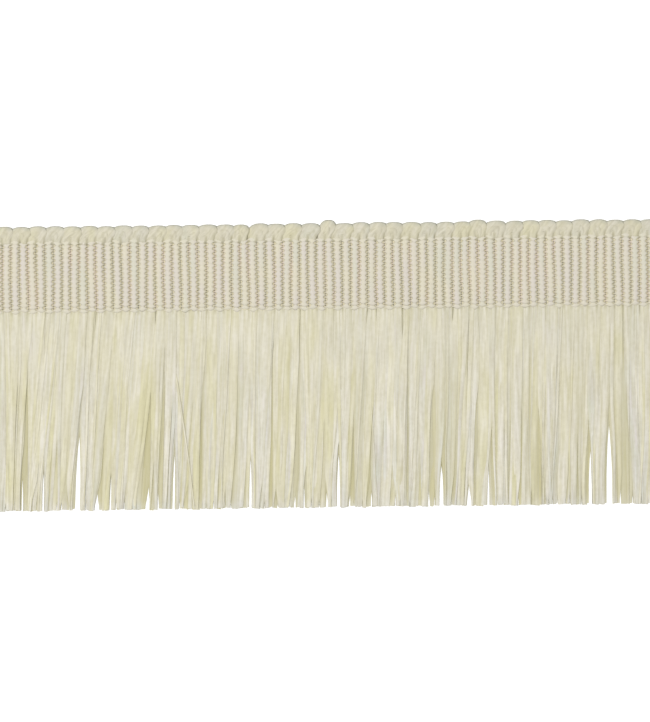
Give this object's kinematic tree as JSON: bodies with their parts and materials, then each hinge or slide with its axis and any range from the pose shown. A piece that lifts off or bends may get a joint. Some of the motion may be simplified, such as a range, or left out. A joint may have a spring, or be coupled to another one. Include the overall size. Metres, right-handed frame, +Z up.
{
  "type": "raffia fringe trimming",
  "caption": "Cut length of raffia fringe: a ribbed woven heading band, small raffia loops along its upper edge, and a flat skirt of cut raffia strands.",
  "frame": {"origin": "middle of the footprint, on the surface that the fringe lies on", "axes": "+X along the trimming, +Y from the strand tips up to the looped edge, +Z up off the surface, out of the face side"},
  "size_m": [0.18, 0.075, 0.0021],
  "materials": {
    "heading_yarn": "matt cream yarn woven over raffia ribs",
    "raffia": "matt to satin pale raffia tape with lengthwise grain"
  },
  "bodies": {
    "root": {"heading_band": "heading_yarn", "loop_edge": "raffia", "skirt": "raffia"}
  },
  "joints": []
}
